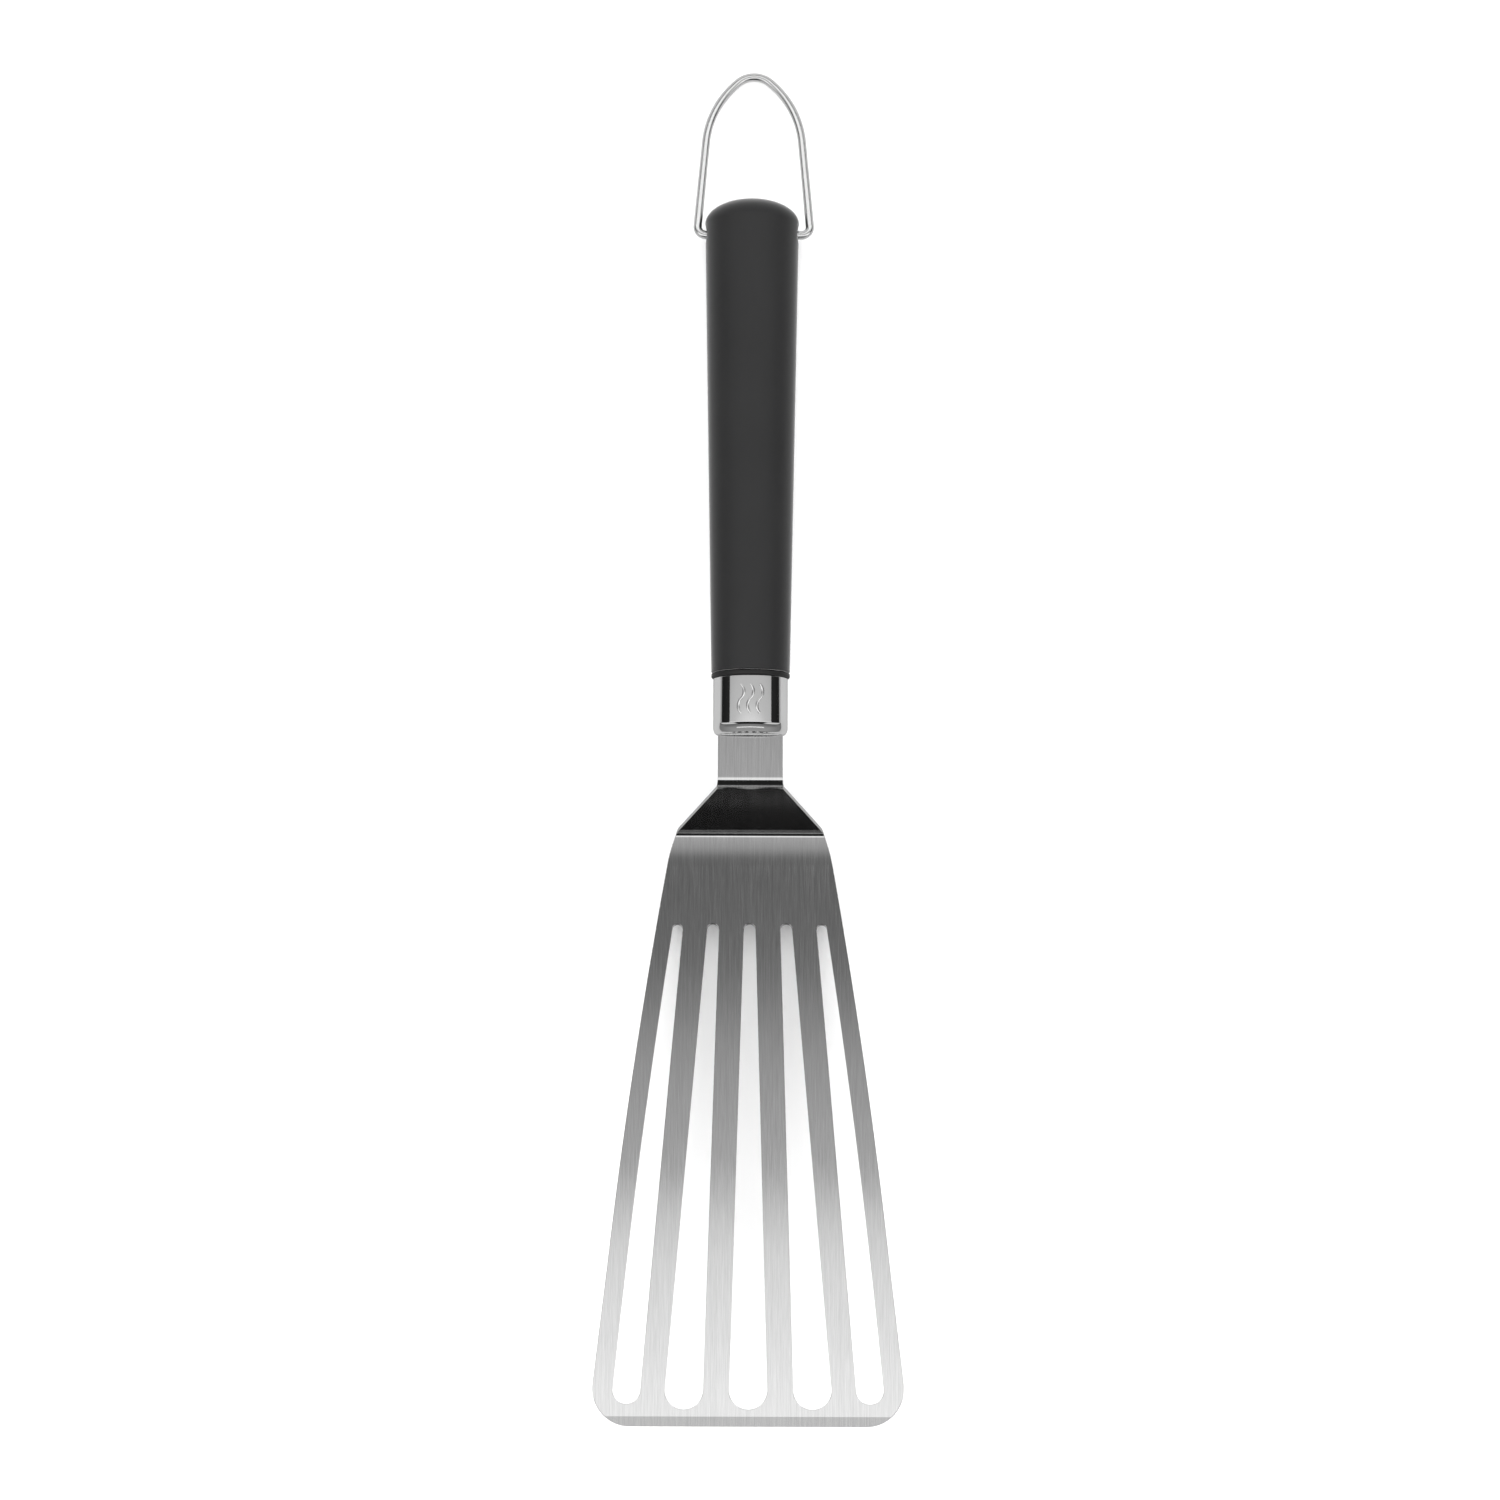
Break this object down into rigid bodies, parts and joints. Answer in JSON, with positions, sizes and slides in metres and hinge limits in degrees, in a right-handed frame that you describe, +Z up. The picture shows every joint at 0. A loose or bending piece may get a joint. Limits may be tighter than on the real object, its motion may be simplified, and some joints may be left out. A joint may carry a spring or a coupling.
{
  "type": "grill spatula",
  "caption": "Long-handled grill turner: slotted, bevelled steel blade on an offset neck, polished collar, soft oval grip and a swinging wire hang loop.",
  "frame": {"origin": "on the table, under the middle of the whole object at rest", "axes": "+Y from the blade tip towards the hang loop, +Z up from the table, +X across the blade"},
  "size_m": [0.0938, 0.4172, 0.052],
  "materials": {
    "blade_steel": "lengthways brushed stainless sheet",
    "polished_collar": "polished",
    "wire_steel": "bright drawn stainless wire",
    "rivet_steel": "plain",
    "soft_black": "soft-touch matt",
    "hard_black": "moulded, fine texture"
  },
  "bodies": {
    "handle": {"blade": "blade_steel", "ferrule": "polished_collar", "front_collar": "hard_black", "grip": "soft_black", "core_upper": "hard_black", "core_lower": "hard_black", "tang_rivet_front": "rivet_steel", "tang_rivet_rear": "rivet_steel"},
    "loop": {"hang_loop": "wire_steel"}
  },
  "joints": [
    {"name": "loop_pivot", "type": "hinge", "parent": "handle", "child": "loop", "pos_m": [0, 0.15609, 0.01203], "axis": [1, 0, 0], "range_deg": [-158, 168]}
  ]
}
